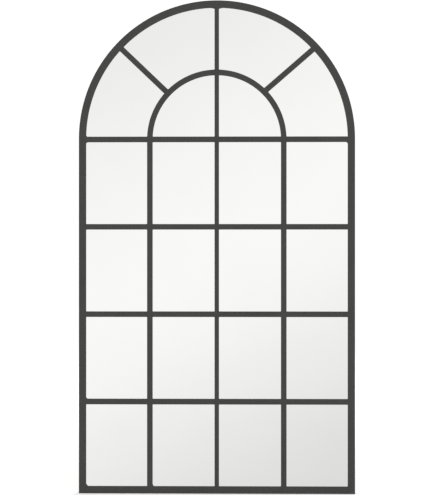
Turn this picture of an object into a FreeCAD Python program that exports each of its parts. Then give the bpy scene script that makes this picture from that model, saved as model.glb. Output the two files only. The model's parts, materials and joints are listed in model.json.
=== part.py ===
"""Arched full-length mirror with a window grille.

One silvered sheet stands behind a welded steel grille. The frame is rolled steel angle with a half-round
head: its front flange covers the edge of the glass, and its side leg runs back to the wall. Flat bars are let in
flush with the front flange. The glazing is held from behind by bent tabs, and two swinging rings hang the mirror.

The front faces -Y, +Z is up, and the origin lies on the floor below the middle of the mirror.
Lengths are in millimetres and angles in degrees.
"""
import FreeCAD
import Part
import math
import os

from FreeCAD import Vector

# Frame of rolled steel angle
FRAME_WIDTH = 1000.0
SPRING_HEIGHT = 1286.0
ANGLE_FACE = 26.0
ANGLE_DEPTH = 25.0
STEEL_THICKNESS = 3.0
EDGE_CHAMFER = 0.6
ROOT_CHAMFER = 2.0

# Grille of flat bars
BAR_WIDTH = 20.0
CENTRE_BAR_WIDTH = 16.0
SIDE_BAR_OFFSET = 242.5
SPRING_BAR_DROP = 3.0

# Where the ends of the two spokes meet the inner and the outer arch, as angles above the horizontal
SPOKE_ANGLES = {"left": {"foot": 42.9, "head": 43.3}, "right": {"foot": 44.6, "head": 42.7}}

# Glazing, from the front to the back
TAPE_WIDTH = 8.0
TAPE_THICKNESS = 1.0
GLASS_THICKNESS = 4.0
GLASS_EDGE_GAP = 3.0
LINER_THICKNESS = 2.0
BOARD_THICKNESS = 3.0
BLOCK_LENGTH = 80.0
BLOCK_PLACE_SHARE = 0.25

# Bent tabs that hold the glazing in
TAB_WIDTH = 12.0
TAB_THICKNESS = 1.0
TAB_FOOT = 18.0
TAB_HEIGHT = 9.0
TAB_BEND_RADIUS = 1.5
TAB_CLEARANCE = 0.5
STILE_TAB_COUNT = 4
RAIL_TAB_COUNT = 3
ARCH_TAB_COUNT = 7

# Hangers: a plate welded to each stile, and a ring held to it by a folded and riveted strap
HANGER_DROP = 65.0
PLATE_WIDTH = 45.0
PLATE_HEIGHT = 60.0
PLATE_THICKNESS = 3.0
PLATE_STANDOFF = 1.0
PLATE_CORNER = 8.0
EYE_DROP = 9.0
STRAP_WIDTH = 14.0
STRAP_LENGTH = 14.0
STRAP_THICKNESS = 1.2
STRAP_CORNER = 4.0
STRAP_BEND_RADIUS = 2.0
LEAF_GAP = 0.2
RING_WIRE = 4.0
RING_WIDTH = 26.0
RING_HEIGHT = 28.0
RING_CORNER = 4.0
RING_CLEARANCE = 0.1
RING_FACET_COUNT = 12
RIVET_DIAMETER = 4.0
RIVET_CLEARANCE = 0.1
RIVET_HEAD_DIAMETER = 6.5
RIVET_CROWN_DIAMETER = 3.6
RIVET_HEAD_HEIGHT = 1.5
RIVET_PLACE = 9.5

# How far every cutting shape runs past what it cuts
CUT_OVERRUN = 5.0

ROWS = ("spring", "upper", "middle", "lower")
COLUMNS = ("outer_left", "inner_left", "inner_right", "outer_right")
SIDES = {"left": -1, "right": 1}

RIGHT = Vector(1, 0, 0)
BACK = Vector(0, 1, 0)
UP = Vector(0, 0, 1)

# Places that follow from the sizes above
half_width = FRAME_WIDTH / 2
opening_half = half_width - ANGLE_FACE
arch_centre = Vector(0, 0, SPRING_HEIGHT)
inner_spring = SPRING_HEIGHT - SPRING_BAR_DROP
inner_centre = Vector(0, 0, inner_spring)
front = -ANGLE_DEPTH / 2
flange_back = front + STEEL_THICKNESS
glass_front = flange_back + TAPE_THICKNESS
glass_back = glass_front + GLASS_THICKNESS
board_front = glass_back + LINER_THICKNESS
board_back = board_front + BOARD_THICKNESS
glazing_inset = STEEL_THICKNESS + GLASS_EDGE_GAP

plate_top = SPRING_HEIGHT - HANGER_DROP
plate_bottom = plate_top - PLATE_HEIGHT
plate_front = board_back + PLATE_STANDOFF
plate_rear = plate_front + PLATE_THICKNESS
hanger_x = -half_width + STEEL_THICKNESS + PLATE_WIDTH / 2
wire_radius = RING_WIRE / 2
eye_radius = wire_radius + RING_CLEARANCE
eye_y = plate_rear + STRAP_THICKNESS + eye_radius
eye_z = plate_top - EYE_DROP
strap_back = plate_rear + 2 * STRAP_THICKNESS + LEAF_GAP


# Shapes that many pieces share

def outline_face(corners, radii=None, chamfers=None):
    """Flat face on a closed run of corners, where a corner may be rounded or cut off."""
    count = len(corners)
    radii = radii or [0] * count
    chamfers = chamfers or [0] * count
    entries = []
    exits = []
    turns = []
    for i, corner in enumerate(corners):
        behind = (corners[i - 1] - corner).normalize()
        ahead = (corners[(i + 1) % count] - corner).normalize()
        half_angle = behind.getAngle(ahead) / 2
        reach = radii[i] / math.tan(half_angle) + chamfers[i]
        entries.append(corner + behind * reach)
        exits.append(corner + ahead * reach)
        if radii[i]:
            middle = corner + (behind + ahead).normalize() * (radii[i] / math.sin(half_angle) - radii[i])
            turns.append([Part.Arc(entries[i], middle, exits[i]).toShape()])
        elif chamfers[i]:
            turns.append([Part.makeLine(entries[i], exits[i])])
        else:
            turns.append([])
    edges = []
    for i in range(count):
        edges += turns[i]
        edges.append(Part.makeLine(exits[i], entries[(i + 1) % count]))
    return Part.Face(Part.Wire(edges))


def section_corners(origin, across, points):
    """Corners of a section: each point is a place across the bar or strip and a depth behind the origin."""
    return [origin + across * place + BACK * depth for place, depth in points]


def arched_sheet(half, bottom, face, thickness, spring=SPRING_HEIGHT):
    """Sheet with a half-round head, square at the bottom, from the plane of its face backwards."""
    low_left = Vector(-half, face, bottom)
    left = Vector(-half, face, spring)
    top = Vector(0, face, spring + half)
    right = Vector(half, face, spring)
    low_right = Vector(half, face, bottom)
    edges = [
        Part.makeLine(low_left, left),
        Part.Arc(left, top, right).toShape(),
        Part.makeLine(right, low_right),
        Part.makeLine(low_right, low_left),
    ]
    return Part.Face(Part.Wire(edges)).extrude(BACK * thickness)


def mirrored(shape):
    """The same piece on the other side of the mirror."""
    return shape.mirror(Vector(0, 0, 0), RIGHT)


# Frame

def angle_section(origin, inward):
    """Steel angle seen along its length: heel at the origin, one leg inward and one leg back."""
    points = [
        (0, 0),
        (ANGLE_FACE, 0),
        (ANGLE_FACE, STEEL_THICKNESS),
        (STEEL_THICKNESS, STEEL_THICKNESS),
        (STEEL_THICKNESS, ANGLE_DEPTH),
        (0, ANGLE_DEPTH),
    ]
    chamfers = [EDGE_CHAMFER, EDGE_CHAMFER, 0, ROOT_CHAMFER, 0, 0]
    return outline_face(section_corners(origin, inward, points), chamfers=chamfers)


def corner_wedge(keeps_stile):
    """Half of the bottom left corner on one side of the mitre, which is cut from the piece on the other side."""
    face = front - CUT_OVERRUN
    low = Vector(-half_width - CUT_OVERRUN, face, -CUT_OVERRUN)
    high = Vector(-half_width + ANGLE_FACE + CUT_OVERRUN, face, ANGLE_FACE + CUT_OVERRUN)
    corner = Vector(high.x, face, low.z) if keeps_stile else Vector(low.x, face, high.z)
    return Part.Face(Part.makePolygon([low, high, corner, low])).extrude(BACK * (ANGLE_DEPTH + 2 * CUT_OVERRUN))


def make_stile():
    section = angle_section(Vector(-half_width, front, 0), RIGHT)
    return section.extrude(UP * SPRING_HEIGHT).cut(corner_wedge(keeps_stile=True))


def make_bottom_rail():
    section = angle_section(Vector(-half_width, front, 0), UP)
    wedge = corner_wedge(keeps_stile=False)
    return section.extrude(RIGHT * FRAME_WIDTH).cut(wedge).cut(mirrored(wedge))


def make_arch_rail():
    section = angle_section(Vector(-half_width, front, SPRING_HEIGHT), RIGHT)
    return section.revolve(arch_centre, BACK, 180)


# Grille

def bar_section(origin, across, width, thickness, chamfer):
    """Flat bar seen along its length, with both front edges broken by a chamfer."""
    points = [(-width / 2, 0), (width / 2, 0), (width / 2, thickness), (-width / 2, thickness)]
    return outline_face(section_corners(origin, across, points), chamfers=[chamfer, chamfer, 0, 0])


def polar_point(radius, degrees, side, face):
    """Place on an arch, by its angle above the horizontal on the given side."""
    turn = math.radians(degrees)
    return Vector(SIDES[side] * radius * math.cos(turn), face, SPRING_HEIGHT + radius * math.sin(turn))


def row_heights():
    """Middle heights of the cross bars from the top down: they divide the field into equal panes."""
    pitch = (inner_spring + BAR_WIDTH / 2 - ANGLE_FACE) / len(ROWS)
    return [inner_spring - i * pitch for i in range(len(ROWS))]


def make_grille(face, thickness, chamfer, side_width, centre_width):
    """All bars of the grille by name, each cut to the bars and the frame that it butts against."""

    def trimmer(half, spring):
        return arched_sheet(half, ANGLE_FACE, face - CUT_OVERRUN, thickness + 2 * CUT_OVERRUN, spring)

    opening = trimmer(opening_half, SPRING_HEIGHT)
    inner_field = trimmer(SIDE_BAR_OFFSET + side_width / 2, inner_spring)
    inner_band = inner_field.cut(trimmer(SIDE_BAR_OFFSET - side_width / 2, inner_spring))
    upright = UP * (SPRING_HEIGHT + half_width)

    bars = {}
    section = bar_section(Vector(0, face, 0), RIGHT, centre_width, thickness, chamfer)
    bars["centre_bar"] = section.extrude(upright).common(opening)
    centre_field = bar_section(
        Vector(0, face - CUT_OVERRUN, 0), RIGHT, centre_width, thickness + 2 * CUT_OVERRUN, 0
    ).extrude(upright)

    for side, sign in SIDES.items():
        foot = Vector(sign * SIDE_BAR_OFFSET, face, 0)
        section = bar_section(foot, RIGHT, side_width, thickness, chamfer)
        leg = section.extrude(UP * inner_spring)
        quarter = section.translated(UP * inner_spring).revolve(inner_centre, BACK, -sign * 90)
        bars[side + "_bent_bar"] = leg.fuse(quarter).common(opening).cut(centre_field)

        start = polar_point(SIDE_BAR_OFFSET, SPOKE_ANGLES[side]["foot"], side, face)
        end = polar_point(half_width, SPOKE_ANGLES[side]["head"], side, face)
        across = (end - start).cross(BACK).normalize()
        section = bar_section(start, across, side_width, thickness, chamfer)
        bars[side + "_spoke_bar"] = section.extrude(end - start).common(opening).cut(inner_field)

    for row, height in zip(ROWS, row_heights()):
        section = bar_section(Vector(-half_width, face, height), UP, side_width, thickness, chamfer)
        row_bar = section.extrude(RIGHT * FRAME_WIDTH).common(opening).cut(inner_band).cut(centre_field)
        lengths = sorted(row_bar.Solids, key=lambda solid: solid.CenterOfMass.x)
        for column, length in zip(COLUMNS, lengths):
            bars[row + "_cross_bar_" + column] = length
    return {name: bar.removeSplitter() for name, bar in bars.items()}


# Glazing

def glazing_sheet(face, thickness):
    return arched_sheet(half_width - glazing_inset, glazing_inset, face, thickness)


def make_glazing_tape():
    """Foam tape behind every bar, and one run round the frame under the edge of the glass."""
    inset = (glazing_inset + ANGLE_FACE - TAPE_WIDTH) / 2
    outside = arched_sheet(half_width - inset, inset, flange_back, TAPE_THICKNESS)
    inner_inset = inset + TAPE_WIDTH
    inside = arched_sheet(half_width - inner_inset, inner_inset, flange_back, TAPE_THICKNESS)
    strips = make_grille(flange_back, TAPE_THICKNESS, 0, TAPE_WIDTH, TAPE_WIDTH)
    return Part.makeCompound([outside.cut(inside)] + list(strips.values()))


def make_setting_block():
    """Rubber pad on the bottom rail, clear of the root of the angle, on which the glass stands."""
    block_front = flange_back + ROOT_CHAMFER
    corner = Vector(-half_width + FRAME_WIDTH * BLOCK_PLACE_SHARE - BLOCK_LENGTH / 2, block_front, STEEL_THICKNESS)
    return Part.makeBox(BLOCK_LENGTH, board_back - block_front, GLASS_EDGE_GAP, corner)


# Tabs

def tab_section(origin, inward):
    """Bent strip seen along the frame: its foot lies on the board and its other leg on the inside of the frame."""
    leg = STEEL_THICKNESS + TAB_THICKNESS
    points = [
        (STEEL_THICKNESS, 0),
        (STEEL_THICKNESS + TAB_FOOT, 0),
        (STEEL_THICKNESS + TAB_FOOT, TAB_THICKNESS),
        (leg, TAB_THICKNESS),
        (leg, TAB_HEIGHT),
        (STEEL_THICKNESS, TAB_HEIGHT),
    ]
    return outline_face(section_corners(origin, inward, points), radii=[TAB_BEND_RADIUS, 0, 0, 0, 0, 0])


def even_places(start, end, count):
    """Middles of equal lengths between two places."""
    return [start + (end - start) * (i + 1 / 2) / count for i in range(count)]


def make_retainer_tabs():
    tabs = []
    for height in even_places(ANGLE_FACE, plate_bottom, STILE_TAB_COUNT):
        section = tab_section(Vector(-half_width, board_back, height - TAB_WIDTH / 2), RIGHT)
        tab = section.extrude(UP * TAB_WIDTH)
        tabs += [tab, mirrored(tab)]
    for place in even_places(-opening_half, opening_half, RAIL_TAB_COUNT):
        section = tab_section(Vector(place - TAB_WIDTH / 2, board_back, 0), UP)
        tabs.append(section.extrude(RIGHT * TAB_WIDTH))

    # A flat tab inside the round leg comes nearest to it with its two ends
    leg_radius = half_width - STEEL_THICKNESS
    bow = leg_radius - math.sqrt(leg_radius ** 2 - (TAB_WIDTH / 2) ** 2)
    place = bow + TAB_CLEARANCE - half_width
    section = tab_section(Vector(place, board_back, SPRING_HEIGHT - TAB_WIDTH / 2), RIGHT)
    arch_tab = section.extrude(UP * TAB_WIDTH)
    for degrees in even_places(0, 180, ARCH_TAB_COUNT):
        tabs.append(arch_tab.rotated(arch_centre, BACK, degrees))
    return Part.makeCompound(tabs)


# Hangers, made for the left side

def hanger_point(along, rise):
    """Place on the middle plane of a hanger: along the strap from its eye, and rise behind the plate."""
    return Vector(hanger_x, plate_rear + rise, eye_z + along)


def hanger_arc(centre, radius, start, end):
    """Arc on that plane between two angles, counted from straight up towards the wall."""
    points = []
    for degrees in (start, (start + end) / 2, end):
        turn = math.radians(degrees)
        points.append(hanger_point(centre[0] + radius * math.cos(turn), centre[1] + radius * math.sin(turn)))
    return Part.Arc(*points).toShape()


def hanger_line(start, end):
    return Part.makeLine(hanger_point(*start), hanger_point(*end))


def rivet_hole():
    """Cutting rod for the rivet hole through strap and plate."""
    base = hanger_point(-RIVET_PLACE, -PLATE_THICKNESS - CUT_OVERRUN)
    length = strap_back - plate_front + 2 * CUT_OVERRUN
    return Part.makeCylinder(RIVET_DIAMETER / 2 + RIVET_CLEARANCE, length, base, BACK)


def make_hanger_plate():
    weld = -half_width + STEEL_THICKNESS
    free = weld + PLATE_WIDTH
    corners = [
        Vector(weld, plate_front, plate_bottom),
        Vector(free, plate_front, plate_bottom),
        Vector(free, plate_front, plate_top),
        Vector(weld, plate_front, plate_top),
    ]
    plate = outline_face(corners, radii=[0, PLATE_CORNER, PLATE_CORNER, 0]).extrude(BACK * PLATE_THICKNESS)
    return plate.cut(rivet_hole())


def make_hanger_strap():
    """Strap folded round the bar of the ring: two flat leaves, with the outer one bent in below the eye."""
    eye = (0, STRAP_THICKNESS + eye_radius)
    outer_radius = eye_radius + STRAP_THICKNESS
    inner_leaf = STRAP_THICKNESS
    outer_leaf = STRAP_THICKNESS + LEAF_GAP
    outside = outer_leaf + STRAP_THICKNESS
    bend_rise = outside + STRAP_BEND_RADIUS
    spacing = outer_radius + STRAP_BEND_RADIUS
    bend = (-math.sqrt(spacing ** 2 - (bend_rise - eye[1]) ** 2), bend_rise)
    turn = math.degrees(math.atan2(bend[1] - eye[1], bend[0] - eye[0]))
    end = -STRAP_LENGTH
    edges = [
        hanger_line((end, 0), (0, 0)),
        hanger_arc(eye, outer_radius, -90, turn),
        hanger_arc(bend, STRAP_BEND_RADIUS, turn + 180, 270),
        hanger_line((bend[0], outside), (end, outside)),
        hanger_line((end, outside), (end, outer_leaf)),
        hanger_line((end, outer_leaf), (bend[0], outer_leaf)),
        hanger_arc(bend, STRAP_BEND_RADIUS + STRAP_THICKNESS, 270, turn + 180),
        hanger_arc(eye, eye_radius, turn, -90),
        hanger_line((0, inner_leaf), (end, inner_leaf)),
        hanger_line((end, inner_leaf), (end, 0)),
    ]
    side = Part.Face(Part.Wire(edges)).translated(RIGHT * (-STRAP_WIDTH / 2))
    strap = side.extrude(RIGHT * STRAP_WIDTH)

    half = RIGHT * (STRAP_WIDTH / 2)
    low = hanger_point(end, -CUT_OVERRUN)
    high = hanger_point(outer_radius + CUT_OVERRUN, -CUT_OVERRUN)
    corners = [low - half, low + half, high + half, high - half]
    plan = outline_face(corners, chamfers=[STRAP_CORNER, STRAP_CORNER, 0, 0])
    depth = 2 * outer_radius + 2 * CUT_OVERRUN
    return strap.common(plan.extrude(BACK * depth)).cut(rivet_hole())


def make_hanger_rivet():
    """Rivet with a coned head, flush with the front of the plate."""
    axis = hanger_point(-RIVET_PLACE, 0)
    head_back = strap_back + RIVET_HEAD_HEIGHT
    profile = [
        (0, plate_front),
        (RIVET_DIAMETER / 2, plate_front),
        (RIVET_DIAMETER / 2, strap_back),
        (RIVET_HEAD_DIAMETER / 2, strap_back),
        (RIVET_CROWN_DIAMETER / 2, head_back),
        (0, head_back),
    ]
    corners = [Vector(axis.x + radius, depth, axis.z) for radius, depth in profile]
    return outline_face(corners).revolve(axis, BACK, 360)


def wire_section(centre, outward):
    """Bent wire seen along its length, with flats enough to look round."""
    corners = []
    for i in range(RING_FACET_COUNT):
        turn = 2 * math.pi * (i + 1 / 2) / RING_FACET_COUNT
        corners.append(centre + outward * (wire_radius * math.cos(turn)) + BACK * (wire_radius * math.sin(turn)))
    return outline_face(corners)


def make_hanger_ring():
    """Ring of round wire: a straight bar in the eye of the strap, and a round bow that hangs below it."""
    bow_radius = (RING_WIDTH + RING_WIRE) / 2
    bar_half = bow_radius - RING_CORNER
    bow_drop = RING_HEIGHT + RING_WIRE - bow_radius
    middle = Vector(hanger_x, eye_y, eye_z)

    def place(across, drop):
        return middle + RIGHT * across - UP * drop

    bar = Part.makeCylinder(wire_radius, 2 * bar_half, place(-bar_half, 0), RIGHT)
    corner = wire_section(place(bar_half, 0), UP).revolve(place(bar_half, RING_CORNER), BACK, 90)
    side_section = wire_section(place(bow_radius, RING_CORNER), RIGHT)
    side = side_section.extrude(UP * (RING_CORNER - bow_drop))
    bow = wire_section(place(bow_radius, bow_drop), RIGHT).revolve(place(0, bow_drop), BACK, 180)
    other_half = [piece.mirror(middle, RIGHT) for piece in (corner, side)]
    return bar.multiFuse([corner, side, bow] + other_half).removeSplitter()


# The whole mirror

def make_parts():
    parts = {"arch_rail": make_arch_rail(), "bottom_rail": make_bottom_rail()}
    parts.update(make_grille(front, STEEL_THICKNESS, EDGE_CHAMFER, BAR_WIDTH, CENTRE_BAR_WIDTH))
    parts["glazing_tape"] = make_glazing_tape()
    parts["mirror_glass"] = glazing_sheet(glass_front, GLASS_THICKNESS)
    parts["card_liner"] = glazing_sheet(glass_back, LINER_THICKNESS)
    parts["backing_board"] = glazing_sheet(board_front, BOARD_THICKNESS)
    parts["retainer_tabs"] = make_retainer_tabs()
    paired = {
        "stile": make_stile(),
        "setting_block": make_setting_block(),
        "hanger_plate": make_hanger_plate(),
        "hanger_strap": make_hanger_strap(),
        "hanger_rivet": make_hanger_rivet(),
        "hanger_ring": make_hanger_ring(),
    }
    for name, shape in paired.items():
        parts["left_" + name] = shape
        parts["right_" + name] = mirrored(shape)
    return parts


os.makedirs("parts", exist_ok=True)
for node, shape in make_parts().items():
    shape.exportStep("parts/" + node + ".step")
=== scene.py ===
"""Finishes, rolled steel, welds and small hardware of the arched mirror, with a plain studio round it.

Lengths are in metres. The front faces -Y and +Z is up.
The origin lies on the floor, below the middle of the mirror.
"""

import json
import math
import random

import bmesh
import bpy
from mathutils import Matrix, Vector


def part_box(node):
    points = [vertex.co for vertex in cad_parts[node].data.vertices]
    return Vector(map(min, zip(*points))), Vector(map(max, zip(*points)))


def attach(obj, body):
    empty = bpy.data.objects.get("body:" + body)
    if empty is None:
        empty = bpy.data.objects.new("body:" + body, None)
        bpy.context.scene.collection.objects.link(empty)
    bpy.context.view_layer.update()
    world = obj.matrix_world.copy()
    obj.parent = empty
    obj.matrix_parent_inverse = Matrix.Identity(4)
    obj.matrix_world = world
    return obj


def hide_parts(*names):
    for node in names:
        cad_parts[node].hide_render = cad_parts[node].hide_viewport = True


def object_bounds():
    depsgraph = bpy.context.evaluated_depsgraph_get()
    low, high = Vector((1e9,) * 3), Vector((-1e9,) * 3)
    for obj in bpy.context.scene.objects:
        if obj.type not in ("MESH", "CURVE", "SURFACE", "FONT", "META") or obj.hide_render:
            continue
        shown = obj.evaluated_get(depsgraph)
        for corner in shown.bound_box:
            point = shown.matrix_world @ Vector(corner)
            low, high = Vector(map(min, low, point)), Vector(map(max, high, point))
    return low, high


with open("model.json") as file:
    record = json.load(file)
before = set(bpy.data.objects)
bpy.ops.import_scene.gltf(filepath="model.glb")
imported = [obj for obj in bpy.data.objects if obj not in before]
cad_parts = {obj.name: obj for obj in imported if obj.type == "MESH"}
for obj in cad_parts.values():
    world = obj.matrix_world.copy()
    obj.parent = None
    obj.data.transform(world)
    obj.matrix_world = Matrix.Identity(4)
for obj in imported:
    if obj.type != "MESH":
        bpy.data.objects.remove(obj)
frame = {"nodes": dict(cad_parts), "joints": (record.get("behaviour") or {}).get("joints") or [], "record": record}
cad_low, cad_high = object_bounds()
scene = bpy.context.scene
scene.view_settings.view_transform = "Standard"

MM = 0.001
RIGHT = Vector((1, 0, 0))
BACK = Vector((0, 1, 0))
UP = Vector((0, 0, 1))
SIDES = {"left": -1, "right": 1}
WHITE = (1, 1, 1)

# The photograph: its size and the mirror's edges in pixels
IMAGE_WIDTH = 435
IMAGE_HEIGHT = 495
LEFT_EDGE_PIXEL = 78.6
RIGHT_EDGE_PIXEL = 354.9
BOTTOM_EDGE_PIXEL = 493.75

# Camera, with its lens and sensor in millimetres
LENS = 85
SENSOR = 36
CAMERA_AZIMUTH = math.radians(0.75)

# Light levels, where 1 shows a white surface as white
AMBIENT_LEVEL = 0.62
KEY_LEVEL = 0.24
BACK_LEVEL = 0.38
WALL_LEVEL = 1.02

# Backdrop that the camera sees, a little over white so that no tint of the render's noise shows in it
BACKDROP_LEVEL = 1.06

# Lamps, which no reflection shows: the sides of their squares, and their places from the mirror's middle
KEY_SIZE = 1.8
KEY_PLACE = Vector((3.0, -4.0, 0.5))
BACK_SIZE = 2.0
BACK_PLACE = Vector((1.6, 3.6, 2.4))

# Floor: half its width, how far it lies below the mirror, and how pale it is
FLOOR_HALF = 30.0
FLOOR_DROP = 0.2 * MM
FLOOR_ALBEDO = 0.86

# Glow of the floor to the camera: lower up to a near distance, so that the shadow shows, and higher afar
NEAR_GLOW = 0.33
FAR_GLOW = 0.53
NEAR_FLOOR = 0.7
FAR_FLOOR = 2.6

# Wall of light that polished surfaces see: it falls off to the top left, and more to the bottom right
REFLECTION_SLOPE = (0.447, 0, -0.894)
REFLECTION_OFFSET = 0.006
REFLECTION_SPAN = 0.5
REFLECTION_STOPS = (
    (0.0, 0.92),
    (0.16, 0.79),
    (0.33, 0.89),
    (0.44, 0.98),
    (0.52, 1.0),
    (0.6, 0.925),
    (0.72, 0.72),
    (0.84, 0.68),
    (1.0, 0.95),
)

# Textures: the range that most of a noise lies in, and the scale at which a wave is about one unit long
NOISE_RANGE = (0.3, 0.7)
WAVE_SCALE = 1 / math.pi

# Black coat: tones, here and below, are stops along a texture's values, and depths are those of relief
COAT_SPECULAR = 0.27
COAT_DRIFT = 90 * MM
COAT_TONES = ((0.3, (0.0440, 0.0437, 0.0418)), (0.7, (0.0495, 0.0492, 0.0470)))
COAT_SPECK = 0.6 * MM
COAT_SPECK_TONES = ((0.35, (0.88, 0.88, 0.88)), (0.65, (1.04, 1.04, 1.04)))
COAT_PEEL = 1.8 * MM
COAT_PEEL_DEPTH = 0.14 * MM
COAT_GRAIN = 0.35 * MM
COAT_GRAIN_DEPTH = 0.035 * MM
COAT_PATCH = 14 * MM
COAT_ROUGHNESS = (0.44, 0.54)

# Silvered glass
GLASS_HAZE = 160 * MM
GLASS_TONES = ((0.35, (0.933, 0.930, 0.913)), (0.65, (0.941, 0.938, 0.921)))
GLASS_ROUGHNESS = (0.004, 0.012)
GLASS_WAVE = 350 * MM
GLASS_WAVE_DEPTH = 0.006 * MM

# Fibre board, with fibres that lie at several angles
BOARD_SPECULAR = 0.25
BOARD_MOTTLE = 120 * MM
BOARD_TONES = ((0.3, (0.262, 0.160, 0.086)), (0.7, (0.305, 0.190, 0.106)))
BOARD_ROUGHNESS = (0.68, 0.84)
FIBRE_WIDTH = 0.7 * MM
FIBRE_STRETCH = (9, 1, 1)
FIBRE_DEGREES = (12, 58, 101, 149)
FIBRE_TONES = ((0.36, (0.66, 0.62, 0.58)), (0.5, WHITE), (0.68, (1.0, 0.98, 0.95)))
FIBRE_SHARE = 0.4
FIBRE_DEPTH = 0.05 * MM
FLECK_WIDTH = 2.4 * MM
FLECK_STRETCH = (2.5, 1, 1)
FLECK_TONES = ((0.28, (0.5, 0.45, 0.4)), (0.36, WHITE))
FLECK_SHARE = 0.6

# Card
CARD_SPECULAR = 0.2
CARD_FIBRE = 0.8 * MM
CARD_FIBRE_STRETCH = (1, 1, 6)
CARD_FIBRE_DEPTH = 0.04 * MM
CARD_TONES = ((0.35, (0.40, 0.27, 0.15)), (0.65, (0.50, 0.36, 0.21)))
CARD_ROUGHNESS = (0.8, 0.92)
CARD_FLUTE = 6 * MM
CARD_FLUTE_DEPTH = 0.25 * MM
CARD_FLUTE_DISTORTION = 0.3

# Foam tape: its own near-black, with painted shade that darkens the hollows of its pores
FOAM_SPECULAR = 0.2
FOAM_PORE = 0.6 * MM
FOAM_PORE_DEPTH = 0.15 * MM
FOAM_TONES_AND_PORE_SHADE = ((0.1, (0.012, 0.012, 0.012)), (0.6, (0.032, 0.032, 0.033)))
FOAM_PATCH = 5 * MM
FOAM_ROUGHNESS = (0.85, 0.95)

# Rubber blocks
RUBBER_SPECULAR = 0.35
RUBBER_DUST = 8 * MM
RUBBER_TONES = ((0.4, (0.030, 0.030, 0.030)), (0.75, (0.060, 0.058, 0.055)))
RUBBER_ROUGHNESS = (0.6, 0.8)
RUBBER_GRAIN = 0.4 * MM
RUBBER_GRAIN_DEPTH = 0.03 * MM

# Zinc plate
ZINC_SPANGLE = 2.6 * MM
ZINC_TONES = ((0.2, (0.55, 0.565, 0.59)), (0.8, (0.66, 0.665, 0.675)))
ZINC_SPOT = 3.5 * MM
ZINC_SPOT_TONES = ((0.3, (0.82, 0.82, 0.80)), (0.5, WHITE))
ZINC_ROUGHNESS = (0.42, 0.27)
ZINC_LINE = 0.25 * MM
ZINC_LINE_STRETCH = (1, 1, 14)
ZINC_LINE_DEPTH = 0.008 * MM

# Meshes: edges that bend more than these angles stay sharp, and vertices this close are one point
SMOOTH_ANGLE = math.radians(40)
BEAD_SMOOTH_ANGLE = math.radians(60)
SAME_POINT = 0.01 * MM

# Rolled steel, with the edge breaks of its sections
ROLL_STEP = math.radians(0.75)
EDGE_CHAMFER = 0.6 * MM
ROOT_CHAMFER = 2 * MM

# Weld fills in the corners of the panes
WELD_SEED = 7
FILL_LEG = 1.5 * MM
FILL_SPREAD_SHARE = 0.3
FILL_ROOT = 0.3 * MM
FILL_RECESS = 0.15 * MM
FILL_SHOULDER = 0.5 * MM
FILL_HOLLOW_SHARE = 0.3
FILL_FACE_SHARE = 0.88
FILL_STEPS = 6

# Larger fills in the photograph: their legs along x and z, and how near a corner is the one meant
CENTRE_HEAD_FILL = (20 * MM, 4 * MM)
BOTTOM_LEFT_FILL = (7.5 * MM, 10 * MM)
UNDER_SPRING_LEFT_FILL = (6 * MM, 4.5 * MM)
OVER_SPRING_LEFT_FILL = (4 * MM, 6.5 * MM)
LEFT_FOOT_FILL = (4.5 * MM, 8 * MM)
OVER_LOWER_LEFT_FILL = (5.5 * MM, 6 * MM)
UNDER_SPRING_RIGHT_FILL = (5.5 * MM, 6 * MM)
NEAR_CORNER_SHARE = 0.25

# Weld beads and ground seams
SEAM_HALF_WIDTH = 1.3 * MM
SEAM_RISE = 0.06 * MM
BEAD_SIDES = 12
BEAD_RING_PITCH = 0.35 * MM
BEAD_LEAST_RINGS = 14
BEAD_END_SHARE = 0.2
BEAD_TAPER_POWER = 8
BEAD_RIPPLE = 1.5 * MM
BEAD_RIPPLE_SHARE = 0.07
BEAD_LAG = 0.6 * MM
CORNER_BEAD = 2.2 * MM
BUTT_BEAD_HALF = 2.4 * MM
BUTT_BEAD_RISE = 0.7 * MM
PLATE_BEAD = 2.6 * MM
PLATE_BEAD_INSET = 2.5 * MM
TACK_HALF = 1.3 * MM
TACK_LENGTH_SHARE = 0.6

# Hanging rings and rivets
RING_INNER_WIDTH = 26 * MM
RING_INNER_HEIGHT = 28 * MM
RING_WIRE_RADIUS = 2 * MM
RING_CORNER = 4 * MM
RING_SIDES = 20
RING_ARC_STEP = math.radians(6)
RIVET_SHANK_RADIUS = 2 * MM
RIVET_HEAD_HEIGHT = 1.5 * MM
RIVET_HOLE_RADIUS = 0.8 * MM
RIVET_HOLE_DEPTH = 0.7 * MM
RIVET_RIM = 0.35 * MM
RIVET_SIDES = 40
DOME_STEPS = 8

# Measures taken from the frame
front = cad_low.y
rear = cad_high.y
half_width = cad_high.x
spring_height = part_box("left_stile")[1].z
arch_centre = Vector((0, 0, spring_height))
bar_low, bar_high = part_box("spring_cross_bar_outer_left")
bar_width = bar_high.z - bar_low.z
bar_back = bar_high.y
inner_spring = (bar_low.z + bar_high.z) / 2
opening_half = -bar_low.x
centre_low, centre_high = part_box("centre_bar")
centre_half = centre_high.x
centre_head = spring_height + math.sqrt(opening_half ** 2 - centre_half ** 2)
opening_bottom = centre_low.z
bend_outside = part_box("right_bent_bar")[1].x
bend_inside = bend_outside - bar_width
lower_bar_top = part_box("lower_cross_bar_outer_left")[1].z
board_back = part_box("backing_board")[1].y
frame_face = half_width - opening_half
steel = bar_back - front
leg_inside = half_width - steel


# Nodes of materials and of the world

def add_node(tree, kind, inputs, **settings):
    """New node with these settings, and with each of the inputs linked to a socket or set to a value."""
    node = tree.nodes.new("ShaderNode" + kind)
    for name, value in settings.items():
        setattr(node, name, value)
    for name, value in inputs.items():
        if isinstance(value, bpy.types.NodeSocket):
            tree.links.new(value, node.inputs[name])
        else:
            node.inputs[name].default_value = value
    return node


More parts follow.
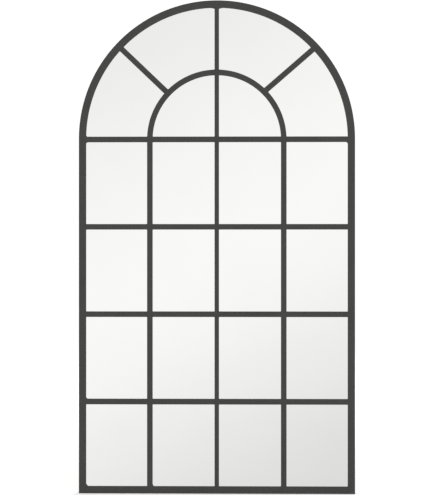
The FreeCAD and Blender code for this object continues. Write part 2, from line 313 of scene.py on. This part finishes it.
def fill_ramp(ramp, stops):
    """Gives a colour ramp its stops, each a place and a colour."""
    while len(ramp.elements) < len(stops):
        ramp.elements.new(1.0)
    for element, (place, colour) in zip(ramp.elements, stops):
        element.position = place
        element.color = (*colour, 1)


class Finish:
    """A material, with short ways to add the nodes of its texture."""

    def __init__(self, name, **constants):
        self.material = bpy.data.materials.new(name)
        self.material.use_nodes = True
        self.tree = self.material.node_tree
        self.shader = self.tree.nodes["Principled BSDF"]
        for socket, value in constants.items():
            self.shader.inputs[socket.replace("_", " ")].default_value = value

    def add(self, kind, inputs, **settings):
        return add_node(self.tree, kind, inputs, **settings)

    def mapped(self, size, stretch=(1, 1, 1), turn=(0, 0, 0)):
        """Coordinates in which a feature of that size, times the stretch along each axis, is one unit."""
        place = self.add("TexCoord", {}).outputs["Object"]
        turned = self.add("Mapping", {"Vector": place, "Rotation": turn}).outputs["Vector"]
        scale = [1 / (size * longer) for longer in stretch]
        return self.add("Mapping", {"Vector": turned, "Scale": scale}).outputs["Vector"]

    def noise(self, size, detail=2, **mapping):
        vector = self.mapped(size, **mapping)
        return self.add("TexNoise", {"Vector": vector, "Scale": 1.0, "Detail": detail}).outputs["Fac"]

    def cells(self, size, output="Distance"):
        return self.add("TexVoronoi", {"Vector": self.mapped(size), "Scale": 1.0}).outputs[output]

    def flutes(self, size, distortion):
        inputs = {"Vector": self.mapped(size), "Scale": WAVE_SCALE, "Distortion": distortion}
        return self.add("TexWave", inputs).outputs["Fac"]

    def spread(self, value, limits):
        """The usual range of a noise, brought to the range between the limits."""
        inputs = {"Value": value}
        inputs["From Min"], inputs["From Max"] = NOISE_RANGE
        inputs["To Min"], inputs["To Max"] = limits
        return self.add("MapRange", inputs).outputs["Result"]

    def tint(self, value, stops):
        """Colour along a ramp."""
        node = self.add("ValToRGB", {"Fac": value})
        fill_ramp(node.color_ramp, stops)
        return node.outputs["Color"]

    def shade(self, under, over, share=1.0):
        """One colour multiplied by another, in full or by a share."""
        inputs = {"Fac": share, "Color1": under, "Color2": over}
        return self.add("MixRGB", inputs, blend_type="MULTIPLY").outputs["Color"]

    def bump(self, height, depth, below=None):
        """Relief of that depth, on its own or on top of another one."""
        inputs = {"Height": height, "Distance": depth, "Strength": 1.0}
        if below is not None:
            inputs["Normal"] = below
        return self.add("Bump", inputs).outputs["Normal"]

    def dress(self, **sockets):
        """Links outputs to the shader and gives the finished material."""
        for name, output in sockets.items():
            self.tree.links.new(output, self.shader.inputs[name.replace("_", " ")])
        return self.material


# Materials

def make_black_coat():
    """Satin powder coat: orange peel, a fine grain and a slow drift of tone."""
    finish = Finish("black_coat", Specular_IOR_Level=COAT_SPECULAR)
    tone = finish.tint(finish.noise(COAT_DRIFT, detail=3), COAT_TONES)
    speck = finish.tint(finish.noise(COAT_SPECK, detail=1), COAT_SPECK_TONES)
    rough = finish.spread(finish.noise(COAT_PATCH, detail=3), COAT_ROUGHNESS)
    peel = finish.bump(finish.noise(COAT_PEEL, detail=1), COAT_PEEL_DEPTH)
    grain = finish.bump(finish.noise(COAT_GRAIN), COAT_GRAIN_DEPTH, below=peel)
    return finish.dress(Base_Color=finish.shade(tone, speck), Roughness=rough, Normal=grain)


def make_silvered_glass():
    """Mirror of float glass: almost flat, with a trace of haze."""
    finish = Finish("silvered_glass", Metallic=1.0)
    haze = finish.noise(GLASS_HAZE, detail=3)
    tone = finish.tint(haze, GLASS_TONES)
    rough = finish.spread(haze, GLASS_ROUGHNESS)
    wave = finish.bump(finish.noise(GLASS_WAVE, detail=0), GLASS_WAVE_DEPTH)
    return finish.dress(Base_Color=tone, Roughness=rough, Normal=wave)


def make_fibre_board():
    """Raw hardboard: matted fibres in several directions, dark flecks and a mottled tone."""
    finish = Finish("fibre_board", Specular_IOR_Level=BOARD_SPECULAR)
    mottle = finish.noise(BOARD_MOTTLE, detail=4)
    tone = finish.tint(mottle, BOARD_TONES)
    relief = None
    for degrees in FIBRE_DEGREES:
        turn = (0, math.radians(degrees), 0)
        fibre = finish.noise(FIBRE_WIDTH, stretch=FIBRE_STRETCH, turn=turn)
        tone = finish.shade(tone, finish.tint(fibre, FIBRE_TONES), FIBRE_SHARE)
        relief = finish.bump(fibre, FIBRE_DEPTH, below=relief)
    fleck = finish.noise(FLECK_WIDTH, detail=3, stretch=FLECK_STRETCH)
    tone = finish.shade(tone, finish.tint(fleck, FLECK_TONES), FLECK_SHARE)
    rough = finish.spread(mottle, BOARD_ROUGHNESS)
    return finish.dress(Base_Color=tone, Roughness=rough, Normal=relief)


def make_card():
    """Kraft card with its flutes showing through."""
    finish = Finish("card", Specular_IOR_Level=CARD_SPECULAR)
    fibre = finish.noise(CARD_FIBRE, detail=3, stretch=CARD_FIBRE_STRETCH)
    tone = finish.tint(fibre, CARD_TONES)
    rough = finish.spread(fibre, CARD_ROUGHNESS)
    flutes = finish.bump(finish.flutes(CARD_FLUTE, CARD_FLUTE_DISTORTION), CARD_FLUTE_DEPTH)
    relief = finish.bump(fibre, CARD_FIBRE_DEPTH, below=flutes)
    return finish.dress(Base_Color=tone, Roughness=rough, Normal=relief)


def make_foam_tape():
    """Closed-cell foam with pores, with painted shade that darkens the hollows of the pores."""
    finish = Finish("foam_tape", Specular_IOR_Level=FOAM_SPECULAR)
    pores = finish.cells(FOAM_PORE)
    # Painted shade: the cells that sink the pores also make their hollows darker than the foam round them
    tone = finish.tint(pores, FOAM_TONES_AND_PORE_SHADE)
    rough = finish.spread(finish.noise(FOAM_PATCH), FOAM_ROUGHNESS)
    return finish.dress(Base_Color=tone, Roughness=rough, Normal=finish.bump(pores, FOAM_PORE_DEPTH))


def make_block_rubber():
    """Moulded rubber, dusty in places."""
    finish = Finish("block_rubber", Specular_IOR_Level=RUBBER_SPECULAR)
    dust = finish.noise(RUBBER_DUST, detail=4)
    tone = finish.tint(dust, RUBBER_TONES)
    rough = finish.spread(dust, RUBBER_ROUGHNESS)
    grain = finish.bump(finish.noise(RUBBER_GRAIN), RUBBER_GRAIN_DEPTH)
    return finish.dress(Base_Color=tone, Roughness=rough, Normal=grain)


def make_zinc_steel():
    """Bright zinc plate: a faint spangle, drawing lines and dull spots."""
    finish = Finish("zinc_steel", Metallic=1.0)
    tone = finish.tint(finish.cells(ZINC_SPANGLE, "Color"), ZINC_TONES)
    spots = finish.noise(ZINC_SPOT, detail=4)
    worn = finish.shade(tone, finish.tint(spots, ZINC_SPOT_TONES))
    rough = finish.spread(spots, ZINC_ROUGHNESS)
    lines = finish.bump(finish.noise(ZINC_LINE, detail=1, stretch=ZINC_LINE_STRETCH), ZINC_LINE_DEPTH)
    return finish.dress(Base_Color=worn, Roughness=rough, Normal=lines)


finishes = {
    "black_coat": make_black_coat(),
    "silvered_glass": make_silvered_glass(),
    "fibre_board": make_fibre_board(),
    "card": make_card(),
    "foam_tape": make_foam_tape(),
    "block_rubber": make_block_rubber(),
    "zinc_steel": make_zinc_steel(),
}

for part in frame["record"]["subparts"]:
    for place in frame["nodes"][part["node"]].material_slots:
        place.material = finishes[part["material_slot"]]


# Pieces

def add_piece(name, mesh, body, slot, smooth_angle=SMOOTH_ANGLE):
    """Turns a finished mesh into a piece that rides on a body and wears the finish of a slot."""
    bmesh.ops.recalc_face_normals(mesh, faces=mesh.faces)
    data = bpy.data.meshes.new(name)
    mesh.to_mesh(data)
    mesh.free()
    data.materials.append(finishes[slot])
    data.shade_smooth()
    data.set_sharp_from_angle(angle=smooth_angle)
    piece = bpy.data.objects.new(name, data)
    scene.collection.objects.link(piece)
    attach(piece, body)
    return piece


def add_skin(mesh, rows, closed=False):
    """Joins rows of points by faces, and closes the two ends or joins the last row to the first."""
    loops = [[mesh.verts.new(point) for point in row] for row in rows]
    pairs = list(zip(loops, loops[1:]))
    if closed:
        pairs.append((loops[-1], loops[0]))
    else:
        mesh.faces.new(loops[0])
        mesh.faces.new(loops[-1])
    for one, other in pairs:
        for i in range(len(one)):
            j = (i + 1) % len(one)
            mesh.faces.new((one[i], one[j], other[j], other[i]))


def circle_points(centre, first, second, radius, count):
    """Points round a circle in the plane of two ways."""
    turns = [2 * math.pi * k / count for k in range(count)]
    return [centre + (first * math.cos(turn) + second * math.sin(turn)) * radius for turn in turns]


# Rolled steel

def make_arch():
    """Rolled angle of the head, smooth along its curve."""
    depth = rear - front
    section = [
        (EDGE_CHAMFER, 0),
        (frame_face - EDGE_CHAMFER, 0),
        (frame_face, EDGE_CHAMFER),
        (frame_face, steel),
        (steel + ROOT_CHAMFER, steel),
        (steel, steel + ROOT_CHAMFER),
        (steel, depth),
        (0, depth),
        (0, EDGE_CHAMFER),
    ]
    rows = []
    steps = round(math.pi / ROLL_STEP)
    for i in range(steps + 1):
        turn = math.pi * i / steps
        outward = UP * math.sin(turn) - RIGHT * math.cos(turn)
        places = [outward * (half_width - inset) + BACK * (front + behind) for inset, behind in section]
        rows.append([arch_centre + place for place in places])
    mesh = bmesh.new()
    add_skin(mesh, rows)
    piece = add_piece("rolled_arch", mesh, "frame", "black_coat")
    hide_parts("arch_rail")


def make_bent_bar(side, sign):
    """Flat bar that runs up from the bottom rail and bends over to the centre bar in a smooth curve."""
    section = [
        (bend_inside + EDGE_CHAMFER, 0),
        (bend_outside - EDGE_CHAMFER, 0),
        (bend_outside, EDGE_CHAMFER),
        (bend_outside, steel),
        (bend_inside, steel),
        (bend_inside, EDGE_CHAMFER),
    ]
    rows = [[(sign * radius, front + behind, opening_bottom) for radius, behind in section]]
    steps = round(math.pi / 2 / ROLL_STEP)
    for i in range(steps + 1):
        row = []
        for radius, behind in section:
            turn = math.acos(centre_half / radius) * i / steps
            height = inner_spring + radius * math.sin(turn)
            row.append((sign * radius * math.cos(turn), front + behind, height))
        rows.append(row)
    mesh = bmesh.new()
    add_skin(mesh, rows)
    piece = add_piece(side + "_rolled_bar", mesh, "frame", "black_coat")
    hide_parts(side + "_bent_bar")


# Welds

def add_bead(mesh, start, end, across, rise, ripple_share=BEAD_RIPPLE_SHARE):
    """Weld bead: an oval tube with tapered ends and crescent ripples, partly sunk in the steel."""
    run = end - start
    rings = BEAD_LEAST_RINGS
    if ripple_share:
        rings = max(rings, round(run.length / BEAD_RING_PITCH))
    ripple_turn = 2 * math.pi * run.length / BEAD_RIPPLE
    rows = []
    for i in range(rings + 1):
        share = i / rings
        fullness = math.sqrt(1 - abs(2 * share - 1) ** BEAD_TAPER_POWER)
        taper = BEAD_END_SHARE + (1 - BEAD_END_SHARE) * fullness
        swell = taper * (1 + ripple_share * math.sin(ripple_turn * share))
        row = []
        for k in range(BEAD_SIDES):
            turn = 2 * math.pi * k / BEAD_SIDES
            offset = (across * math.cos(turn) + rise * math.sin(turn)) * swell
            lag = run.normalized() * (BEAD_LAG * ripple_share / BEAD_RIPPLE_SHARE * math.sin(turn))
            row.append(start + run * share + offset + lag)
        rows.append(row)
    add_skin(mesh, rows)


def add_seam(mesh, start, end, across):
    """Seam that was ground almost flush with the front."""
    add_bead(mesh, start, end, across * SEAM_HALF_WIDTH, BACK * SEAM_RISE, ripple_share=0)


def add_fill(mesh, corner, wall_leg, bar_leg):
    """Weld that fills the corner of a pane: one leg on the wall, one on the bar, hollow between them."""
    wall_root = wall_leg.normalized() * FILL_ROOT
    bar_root = bar_leg.normalized() * FILL_ROOT
    outline = [-wall_root - bar_root, wall_leg - bar_root]
    for i in range(FILL_STEPS + 1):
        share = i / FILL_STEPS
        toward = (wall_leg + bar_leg) * (FILL_HOLLOW_SHARE * 2 * share * (1 - share))
        outline.append(wall_leg * (1 - share) ** 2 + bar_leg * share ** 2 + toward)
    outline.append(bar_leg - wall_root)
    rows = []
    face = front + FILL_RECESS
    for depth, scale in ((bar_back, 1), (face + FILL_SHOULDER, 1), (face, FILL_FACE_SHARE)):
        base = Vector((corner.x, depth, corner.z))
        rows.append([base + point * scale for point in outline])
    add_skin(mesh, rows)


def front_point(x, z):
    """Place on the plane of the front."""
    return Vector((x, front, z))


def bar_ends():
    """The two corners at each end of every bar, with the way from the wall into the bar."""
    ends = []
    for name in frame["nodes"]:
        if "_cross_bar_" in name:
            low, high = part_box(name)
            ends.append((front_point(low.x, low.z), front_point(low.x, high.z), RIGHT))
            ends.append((front_point(high.x, low.z), front_point(high.x, high.z), -RIGHT))

    foot = [front_point(x, opening_bottom) for x in (centre_low.x, centre_high.x)]
    head = [front_point(x, centre_head) for x in (centre_low.x, centre_high.x)]
    ends += [(*foot, UP), (*head, -UP)]

    for side, sign in SIDES.items():
        foot = [front_point(sign * x, opening_bottom) for x in (bend_inside, bend_outside)]
        rises = [math.sqrt(radius ** 2 - centre_half ** 2) for radius in (bend_inside, bend_outside)]
        head = [front_point(sign * centre_half, inner_spring + rise) for rise in rises]
        ends += [(*foot, UP), (*head, RIGHT * sign)]
        ends += spoke_ends(side + "_spoke_bar")
    return ends


def spoke_ends(name):
    """The same for a spoke, read from the corners of its solid."""

    def reach(corner):
        return (corner - arch_centre).xz.length

    def turn(corner):
        return math.atan2(corner.z - arch_centre.z, corner.x)

    corners = [front_point(vertex.co.x, vertex.co.z) for vertex in frame["nodes"][name].data.vertices]
    corners.sort(key=turn)
    middle = sum(reach(corner) for corner in corners) / len(corners)
    foot = [corner for corner in corners if reach(corner) <= middle]
    head = [corner for corner in corners if reach(corner) > middle]
    way = (head[0] + head[-1] - foot[0] - foot[-1]).normalized()
    return [(foot[0], foot[-1], way), (head[0], head[-1], -way)]


wide_fills = [
    (front_point(-centre_half, centre_head), CENTRE_HEAD_FILL),
    (front_point(centre_half, centre_head), CENTRE_HEAD_FILL),
    (front_point(-opening_half, opening_bottom), BOTTOM_LEFT_FILL),
    (front_point(-opening_half, bar_low.z), UNDER_SPRING_LEFT_FILL),
    (front_point(-opening_half, bar_high.z), OVER_SPRING_LEFT_FILL),
    (front_point(-bend_inside, opening_bottom), LEFT_FOOT_FILL),
    (front_point(-opening_half, lower_bar_top), OVER_LOWER_LEFT_FILL),
    (front_point(opening_half, bar_low.z), UNDER_SPRING_RIGHT_FILL),
]


def add_corner(mesh, corner, wall_way, bar_way, chance):
    """Fill of one corner, of the size that the photograph shows or else of about the usual one."""
    legs = [FILL_LEG * (1 + chance.uniform(-1, 1) * FILL_SPREAD_SHARE) for _ in range(2)]
    for place, (leg_x, leg_z) in wide_fills:
        if (corner - place).length < bar_width * NEAR_CORNER_SHARE:
            legs = [leg_x if abs(way.x) > abs(way.z) else leg_z for way in (wall_way, bar_way)]
    add_fill(mesh, corner, wall_way * legs[0], bar_way * legs[1])


def make_grille_welds():
    """Ground seams on the front where the bars butt, and the fills left in the corners of the panes."""
    mesh = bmesh.new()
    chance = random.Random(WELD_SEED)
    for one, other, way in bar_ends():
        along = (other - one).normalized()
        add_seam(mesh, one, other, way)
        add_corner(mesh, one, -along, way, chance)
        add_corner(mesh, other, along, way, chance)
    for sign in SIDES.values():
        inner = front_point(sign * opening_half, opening_bottom)
        heel = front_point(sign * half_width, 0)
        along = (heel - inner).normalized()
        add_seam(mesh, inner, heel - along * SEAM_HALF_WIDTH, along.cross(BACK))
        add_corner(mesh, inner, UP, RIGHT * -sign, chance)
        butt = front_point(sign * opening_half, spring_height)
        add_seam(mesh, butt, butt + RIGHT * (sign * (frame_face - SEAM_HALF_WIDTH)), UP)
    add_piece("grille_welds", mesh, "frame", "black_coat")


def make_frame_welds():
    """Beads in the bottom corners, at the feet of the arch and along the hanger plates."""
    mesh = bmesh.new()
    for side, sign in SIDES.items():
        corner = Vector((sign * leg_inside, board_back, steel))
        corner_end = Vector((corner.x, rear - CORNER_BEAD, corner.z))
        add_bead(mesh, corner, corner_end, RIGHT * CORNER_BEAD, UP * CORNER_BEAD)
        butt = Vector((sign * leg_inside, board_back, spring_height))
        butt_end = Vector((butt.x, rear - BUTT_BEAD_HALF, butt.z))
        add_bead(mesh, butt, butt_end, UP * BUTT_BEAD_HALF, RIGHT * BUTT_BEAD_RISE)
        low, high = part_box(side + "_hanger_plate")
        foot = Vector((sign * leg_inside, high.y, low.z + PLATE_BEAD_INSET))
        head = Vector((sign * leg_inside, high.y, high.z - PLATE_BEAD_INSET))
        add_bead(mesh, foot, head, RIGHT * PLATE_BEAD, BACK * PLATE_BEAD)
    add_piece("frame_welds", mesh, "frame", "black_coat", BEAD_SMOOTH_ANGLE)


def loose_solids(name):
    """Vertices of a node sorted into its separate solids."""
    data = frame["nodes"][name].data
    keys = [tuple(round(value / SAME_POINT) for value in vertex.co) for vertex in data.vertices]
    parent = {key: key for key in keys}

    def head(key):
        while parent[key] != key:
            key = parent[key]
        return key

    for edge in data.edges:
        one, other = (head(keys[i]) for i in edge.vertices)
        parent[one] = other
    solids = {}
    for key, vertex in zip(keys, data.vertices):
        solids.setdefault(head(key), []).append(vertex.co.copy())
    return list(solids.values())


def frame_way(place):
    """Way from a place inside the frame to the nearest stretch of it."""
    if place.z > spring_height:
        outward = place - arch_centre
        outward.y = 0
        return outward.normalized()
    if abs(place.x) < opening_half:
        return -UP
    return RIGHT * math.copysign(1, place.x)


def make_tab_welds():
    """One tack along the end of each retainer tab, where it meets the leg of the frame."""
    mesh = bmesh.new()
    for corners in loose_solids("retainer_tabs"):
        outward = frame_way(sum(corners, Vector()) / len(corners))
        along = outward.cross(BACK)
        end = max(corner.y for corner in corners)
        reach = max(corner.dot(outward) for corner in corners)
        spread = [corner.dot(along) for corner in corners]
        centre = outward * reach + along * ((min(spread) + max(spread)) / 2) + BACK * end
        half = along * ((max(spread) - min(spread)) / 2 * TACK_LENGTH_SHARE)
        add_bead(mesh, centre - half, centre + half, outward * TACK_HALF, BACK * TACK_HALF)
    add_piece("tab_welds", mesh, "frame", "black_coat", BEAD_SMOOTH_ANGLE)


# Hanging rings and rivets

def ring_line(middle):
    """Points along the middle of the ring's wire, each with the way outward: corner, bow and corner."""
    half = RING_INNER_WIDTH / 2 + RING_WIRE_RADIUS
    bow_drop = RING_INNER_HEIGHT + 2 * RING_WIRE_RADIUS - half
    arcs = [
        (half - RING_CORNER, -RING_CORNER, RING_CORNER, 90, 0),
        (0, -bow_drop, half, 0, -180),
        (RING_CORNER - half, -RING_CORNER, RING_CORNER, 180, 90),
    ]
    line = []
    for across, height, radius, start, end in arcs:
        steps = round(math.radians(abs(end - start)) / RING_ARC_STEP)
        for i in range(steps + 1):
            turn = math.radians(start + (end - start) * i / steps)
            outward = RIGHT * math.cos(turn) + UP * math.sin(turn)
            line.append((middle + RIGHT * across + UP * height + outward * radius, outward))
    return line


def make_ring(side):
    """Round wire ring in the eye of its strap."""
    joint = next(joint for joint in frame["joints"] if joint["name"] == side + "_ring_swing")
    rows = []
    for centre, outward in ring_line(Vector(joint["pos_m"])):
        rows.append(circle_points(centre, outward, BACK, RING_WIRE_RADIUS, RING_SIDES))
    mesh = bmesh.new()
    add_skin(mesh, rows, closed=True)
    piece = add_piece(side + "_ring_wire", mesh, side + "_ring", "zinc_steel")
    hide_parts(side + "_hanger_ring")


def make_rivet(side):
    """Blind rivet: a domed head with the hole of its broken stem, and a shank through strap and plate."""
    low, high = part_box(side + "_hanger_rivet")
    middle = (low + high) / 2
    head_radius = (high.x - low.x) / 2
    seat = high.y - RIVET_HEAD_HEIGHT
    rim = seat + RIVET_RIM
    profile = [
        (RIVET_SHANK_RADIUS, low.y),
        (RIVET_SHANK_RADIUS, seat),
        (head_radius, seat),
        (head_radius, rim),
    ]
    for i in range(1, DOME_STEPS + 1):
        turn = math.pi / 2 * i / DOME_STEPS
        radius = RIVET_HOLE_RADIUS + (head_radius - RIVET_HOLE_RADIUS) * math.cos(turn)
        profile.append((radius, rim + (high.y - rim) * math.sin(turn)))
    profile.append((RIVET_HOLE_RADIUS, high.y - RIVET_HOLE_DEPTH))
    rows = []
    for radius, depth in profile:
        centre = Vector((middle.x, depth, middle.z))
        rows.append(circle_points(centre, RIGHT, UP, radius, RIVET_SIDES))
    mesh = bmesh.new()
    add_skin(mesh, rows)
    piece = add_piece(side + "_rivet", mesh, "frame", "zinc_steel")
    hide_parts(side + "_hanger_rivet")


make_arch()
for side, sign in SIDES.items():
    make_bent_bar(side, sign)
make_grille_welds()
make_frame_welds()
make_tab_welds()
for side in SIDES:
    make_ring(side)
    make_rivet(side)


# Studio

def make_camera():
    """Camera square to the mirror's height and a little to its right, framed as the photograph is."""
    pixel = 2 * half_width / (RIGHT_EDGE_PIXEL - LEFT_EDGE_PIXEL)
    distance = pixel * IMAGE_HEIGHT * LENS / SENSOR
    target = Vector((
        (IMAGE_WIDTH - LEFT_EDGE_PIXEL - RIGHT_EDGE_PIXEL) / 2 * pixel,
        front,
        (BOTTOM_EDGE_PIXEL - IMAGE_HEIGHT / 2) * pixel,
    ))
    data = bpy.data.cameras.new("camera")
    data.lens = LENS
    data.sensor_width = SENSOR
    camera = bpy.data.objects.new("camera", data)
    away = Vector((math.sin(CAMERA_AZIMUTH), -math.cos(CAMERA_AZIMUTH), 0))
    camera.location = target + away * distance
    camera.rotation_euler = (math.pi / 2, 0, CAMERA_AZIMUTH)
    scene.collection.objects.link(camera)
    scene.camera = camera


def make_world():
    """White to the camera, even light on rough surfaces, and the wall of light for polished ones."""
    world = bpy.data.worlds.new("studio")
    world.use_nodes = True
    scene.world = world
    tree = world.node_tree
    tree.nodes.clear()

    way = add_node(tree, "TexCoord", {}).outputs["Generated"]
    slope = add_node(tree, "VectorMath", {0: way, 1: REFLECTION_SLOPE}, operation="DOT_PRODUCT")
    inputs = {
        "Value": slope.outputs["Value"],
        "From Min": -REFLECTION_SPAN - REFLECTION_OFFSET,
        "From Max": REFLECTION_SPAN - REFLECTION_OFFSET,
    }
    share = add_node(tree, "MapRange", inputs).outputs["Result"]
    ramp = add_node(tree, "ValToRGB", {"Fac": share})
    ramp.color_ramp.interpolation = "B_SPLINE"
    fill_ramp(ramp.color_ramp, [(place, (level, level, level)) for place, level in REFLECTION_STOPS])

    def add_light(colour, level):
        return add_node(tree, "Background", {"Color": colour, "Strength": level}).outputs[0]

    light = add_light((*WHITE, 1), AMBIENT_LEVEL)
    wall = add_light(ramp.outputs["Color"], WALL_LEVEL)
    backdrop = add_light((*WHITE, 1), BACKDROP_LEVEL)
    ray = add_node(tree, "LightPath", {}).outputs
    kinds = {0: ray["Is Glossy Ray"], 1: ray["Is Transmission Ray"]}
    polished = add_node(tree, "Math", kinds, operation="MAXIMUM").outputs[0]
    lit = add_node(tree, "MixShader", {0: polished, 1: light, 2: wall}).outputs[0]
    seen = add_node(tree, "MixShader", {0: ray["Is Camera Ray"], 1: lit, 2: backdrop}).outputs[0]
    add_node(tree, "OutputWorld", {"Surface": seen})


def make_floor():
    """Pale floor that shows white to the camera but keeps the shadow."""
    finish = Finish(
        "floor",
        Base_Color=(FLOOR_ALBEDO, FLOOR_ALBEDO, FLOOR_ALBEDO, 1),
        Roughness=1.0,
        Specular_IOR_Level=0.0,
        Emission_Color=(*WHITE, 1),
    )
    place = finish.add("TexCoord", {}).outputs["Object"]
    inputs = {
        "Value": finish.add("VectorMath", {0: place}, operation="LENGTH").outputs["Value"],
        "From Min": NEAR_FLOOR,
        "From Max": FAR_FLOOR,
        "To Min": NEAR_GLOW,
        "To Max": FAR_GLOW,
    }
    level = finish.add("MapRange", inputs, interpolation_type="SMOOTHSTEP").outputs["Result"]
    camera_ray = finish.add("LightPath", {}).outputs["Is Camera Ray"]
    glow = finish.add("Math", {0: camera_ray, 1: level}, operation="MULTIPLY").outputs[0]

    mesh = bmesh.new()
    bmesh.ops.create_grid(mesh, x_segments=2, y_segments=2, size=FLOOR_HALF)
    data = bpy.data.meshes.new("floor")
    mesh.to_mesh(data)
    mesh.free()
    data.materials.append(finish.dress(Emission_Strength=glow))
    floor = bpy.data.objects.new("floor", data)
    floor.location.z = -FLOOR_DROP
    floor.visible_glossy = False
    scene.collection.objects.link(floor)


def make_lamp(name, offset, size, level):
    """Square soft lamp that adds the level to a white surface that faces it in the mirror's middle."""
    middle = (cad_low + cad_high) / 2
    place = middle + offset
    way = middle - place
    data = bpy.data.lights.new(name, "AREA")
    data.shape = "SQUARE"
    data.size = size
    data.energy = level * math.pi ** 2 * way.length_squared
    lamp = bpy.data.objects.new(name, data)
    lamp.location = place
    lamp.rotation_euler = way.to_track_quat("-Z", "Y").to_euler()
    lamp.visible_glossy = False
    scene.collection.objects.link(lamp)


make_camera()
make_world()
make_floor()
for side, sign in SIDES.items():
    offset = Vector((sign * KEY_PLACE.x, KEY_PLACE.y, KEY_PLACE.z))
    make_lamp(side + "_key", offset, KEY_SIZE, KEY_LEVEL)
make_lamp("back_fill", BACK_PLACE, BACK_SIZE, BACK_LEVEL)
